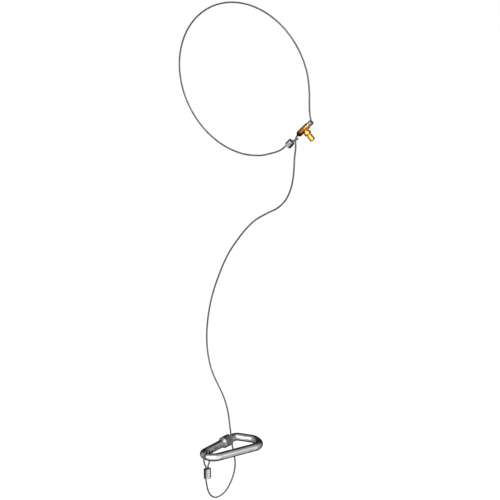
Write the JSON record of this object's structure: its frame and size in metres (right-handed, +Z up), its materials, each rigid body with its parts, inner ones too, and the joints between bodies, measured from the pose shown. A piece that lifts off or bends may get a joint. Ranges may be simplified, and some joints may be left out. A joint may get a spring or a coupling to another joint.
{
  "type": "wire rope anchor sling",
  "caption": "Steel wire rope sling with a cable-gripper loop at the top, an S-bent drop and a screw-lock carabiner held in a crimped lower eye.",
  "frame": {"origin": "inside top of the upper loop, the point that hangs on the anchor", "axes": "+Z up, X across the upper loop with the cable gripper on +X, Y normal to the loop's plane, -Y towards the front"},
  "size_m": [0.2733, 0.1133, 0.9097],
  "materials": {
    "rope_steel": "galvanised wire rope, satin",
    "ferrule_metal": "crimped, satin",
    "brass": "turned, satin",
    "dark_brass": "darkened",
    "plunger_steel": "plated",
    "carabiner_steel": "zinc plated, satin",
    "sleeve_steel": "knurled, dark satin",
    "ring_steel": "polished",
    "inner_steel": "ground"
  },
  "bodies": {
    "root": {"top_loop_cable": "rope_steel", "gripper_cable": "rope_steel", "drop_cable": "rope_steel", "lower_noose_cable": "rope_steel", "upper_eye_cable": "rope_steel", "lower_eye_cable": "rope_steel", "upper_ferrule": "ferrule_metal", "lower_ferrule": "ferrule_metal", "gripper_body": "brass", "gripper_end_cap": "dark_brass", "side_bush": "brass", "cage_spring": "inner_steel"},
    "plunger": {"release_plunger": "plunger_steel", "ball_cage": "brass", "grip_ball_1": "inner_steel", "grip_ball_2": "inner_steel", "grip_ball_3": "inner_steel"},
    "screw_pad": {"screw_pad": "dark_brass"},
    "lock_screw": {"lock_screw": "brass"},
    "carabiner": {"carabiner_body": "carabiner_steel", "gate_hinge_pin": "inner_steel"},
    "gate": {"gate": "carabiner_steel", "gate_latch_pin": "inner_steel", "gate_push_rod": "inner_steel", "gate_spring": "inner_steel"},
    "sleeve_ring": {"sleeve_ring": "ring_steel"},
    "screw_sleeve": {"screw_sleeve": "sleeve_steel"}
  },
  "joints": [
    {"name": "plunger_press", "type": "slide", "parent": "root", "child": "plunger", "axis": [-0.682, 0, -0.7314], "range_m": [0, 0.0016], "stiffness_N_per_m": 600, "springref_m": -0.005, "deforming": ["cage_spring"]},
    {"name": "screw_travel", "type": "slide", "parent": "root", "child": "screw_pad", "axis": [-0.7314, 0, 0.682], "range_m": [0, 0.0011]},
    {"name": "lock_screw_turn", "type": "hinge", "parent": "screw_pad", "child": "lock_screw", "pos_m": [0.12865, 0, -0.19723], "axis": [-0.7314, 0, 0.682], "range_deg": [0, 565]},
    {"name": "carabiner_swing", "type": "hinge", "parent": "root", "child": "carabiner", "pos_m": [-0.0479, -0.0435, -0.8203], "axis": [-0.9901, 0.136, 0.036], "range_deg": [-12, 7], "stiffness_Nm_per_rad": 4, "springref_deg": -2.36},
    {"name": "gate_hinge", "type": "hinge", "parent": "carabiner", "child": "gate", "pos_m": [-0.05768, -0.0265, -0.81926], "axis": [-0.0299, 0.0429, -0.9986], "range_deg": [0, 27], "stiffness_Nm_per_rad": 0.6, "springref_deg": -17.19},
    {"name": "sleeve_travel", "type": "slide", "parent": "gate", "child": "sleeve_ring", "axis": [0.1449, 0.9887, 0.0382], "range_m": [0, 0.007]},
    {"name": "sleeve_turn", "type": "hinge", "parent": "sleeve_ring", "child": "screw_sleeve", "pos_m": [-0.05768, -0.0265, -0.81926], "axis": [0.1449, 0.9887, 0.0382], "range_deg": [0, 1260]}
  ],
  "couplings": [
    {"joint": "screw_travel", "follows": "lock_screw_turn", "m_per_rad": 0.0001114},
    {"joint": "sleeve_travel", "follows": "sleeve_turn", "m_per_rad": 0.0003183}
  ]
}
